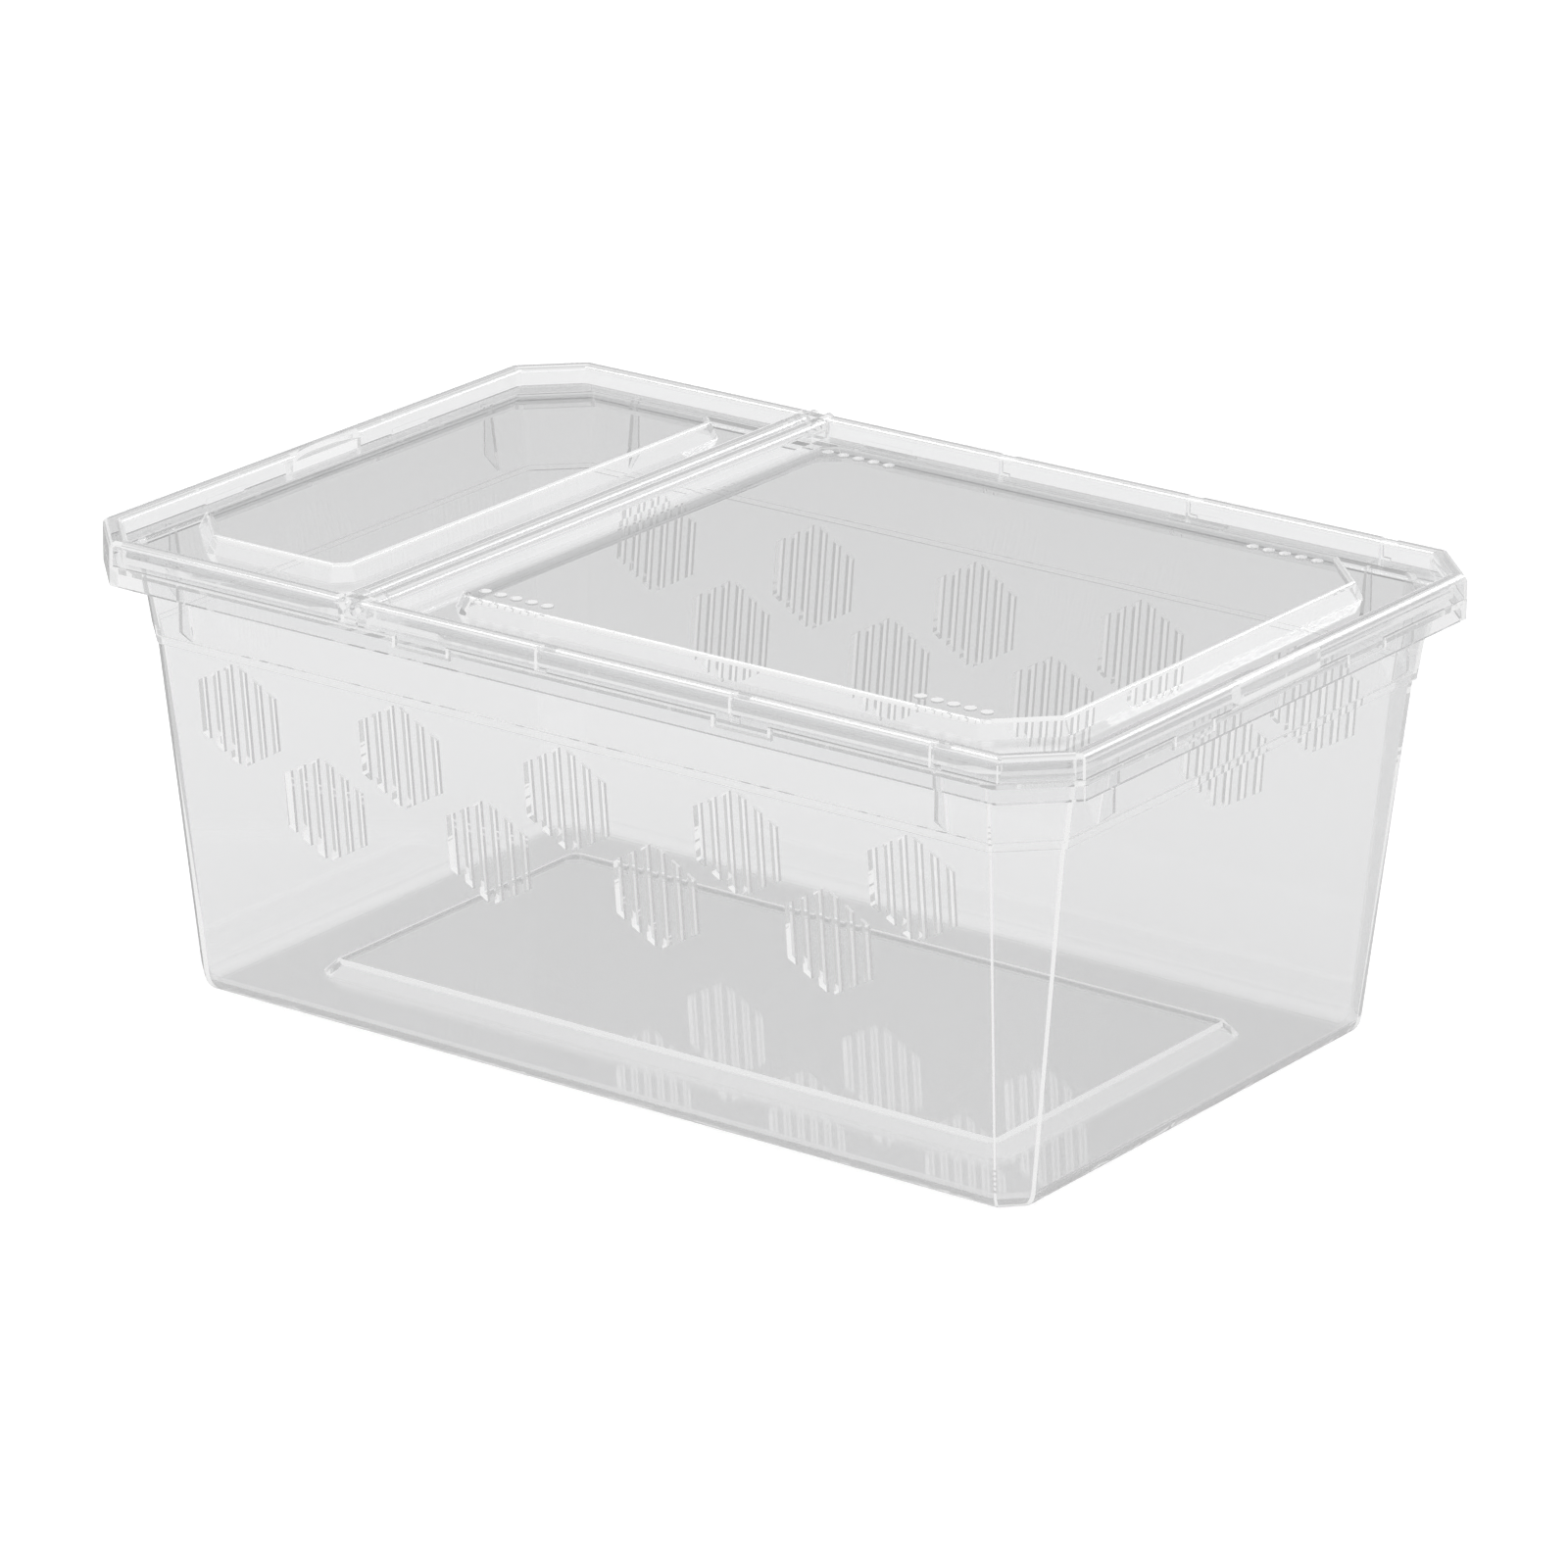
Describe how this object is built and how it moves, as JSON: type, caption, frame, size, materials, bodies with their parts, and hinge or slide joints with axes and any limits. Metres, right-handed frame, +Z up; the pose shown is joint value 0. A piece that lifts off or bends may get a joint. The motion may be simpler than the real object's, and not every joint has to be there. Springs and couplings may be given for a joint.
{
  "type": "reptile breeding box",
  "caption": "Clear plastic reptile breeding box, a tapered vented tub with a long main lid and a short feeding lid hinged back to back.",
  "frame": {"origin": "centre of the footprint, on the surface the box stands on", "axes": "+X along the length, with the main lid at +X and the feeding lid at -X, +Z up, front at -Y"},
  "size_m": [0.325, 0.214, 0.134],
  "materials": {
    "clear plastic": "polished injection moulding, water clear"
  },
  "bodies": {
    "tub": {"tub": "clear plastic"},
    "main_lid": {"main_lid": "clear plastic"},
    "feeding_lid": {"feeding_lid": "clear plastic"}
  },
  "joints": [
    {"name": "main_lid_hinge", "type": "hinge", "parent": "tub", "child": "main_lid", "pos_m": [-0.0604, 0, 0.1318], "axis": [0, -1, 0], "range_deg": [0, 88]},
    {"name": "feeding_lid_hinge", "type": "hinge", "parent": "tub", "child": "feeding_lid", "pos_m": [-0.0656, 0, 0.1318], "axis": [0, 1, 0], "range_deg": [0, 88]}
  ]
}
